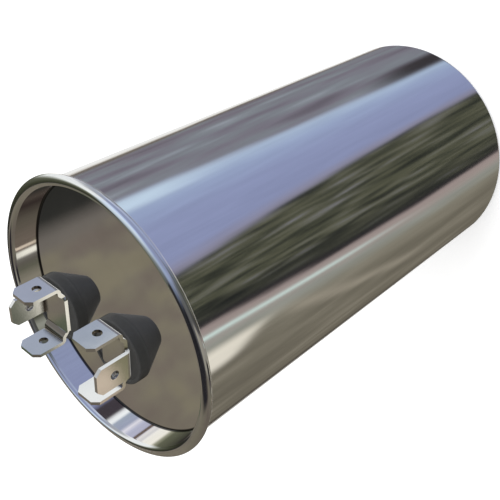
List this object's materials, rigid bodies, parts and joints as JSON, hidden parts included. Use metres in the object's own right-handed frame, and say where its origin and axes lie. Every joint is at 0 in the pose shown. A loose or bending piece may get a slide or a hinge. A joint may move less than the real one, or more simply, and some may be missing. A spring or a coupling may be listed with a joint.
{
  "type": "motor capacitor",
  "caption": "Round metal-can motor capacitor with a rolled-in lid and two insulated three-tab push-on terminals.",
  "frame": {"origin": "centre of the can's flat closed end", "axes": "+Z along the can towards the terminals, X through both terminals, left terminal at -X"},
  "size_m": [0.063, 0.063, 0.1251],
  "materials": {
    "can_metal": "drawn and polished, bright",
    "lid_metal": "tinned sheet, satin deck and bright rim",
    "insulator_plastic": "moulded, matt",
    "tinned_tab": "tinned, satin",
    "tinned_copper": "tinned copper",
    "rivet_metal": "plain",
    "washer_rubber": "matt",
    "inner_plastic": "natural, matt",
    "film": "metallised film roll with sprayed ends"
  },
  "bodies": {
    "root": {"bottom_cup": "inner_plastic", "can": "can_metal", "core_tube": "inner_plastic", "inner_bushing_left": "inner_plastic", "inner_bushing_right": "inner_plastic", "insulator_left": "insulator_plastic", "insulator_right": "insulator_plastic", "lead_strip_bottom": "tinned_copper", "lead_strip_top": "tinned_copper", "lid": "lid_metal", "lug_left": "tinned_copper", "lug_right": "tinned_copper", "rivet_left": "rivet_metal", "rivet_right": "rivet_metal", "sealing_washer_left": "washer_rubber", "sealing_washer_right": "washer_rubber", "terminal_left": "tinned_tab", "terminal_right": "tinned_tab", "top_spacer": "inner_plastic", "winding": "film"}
  },
  "joints": []
}
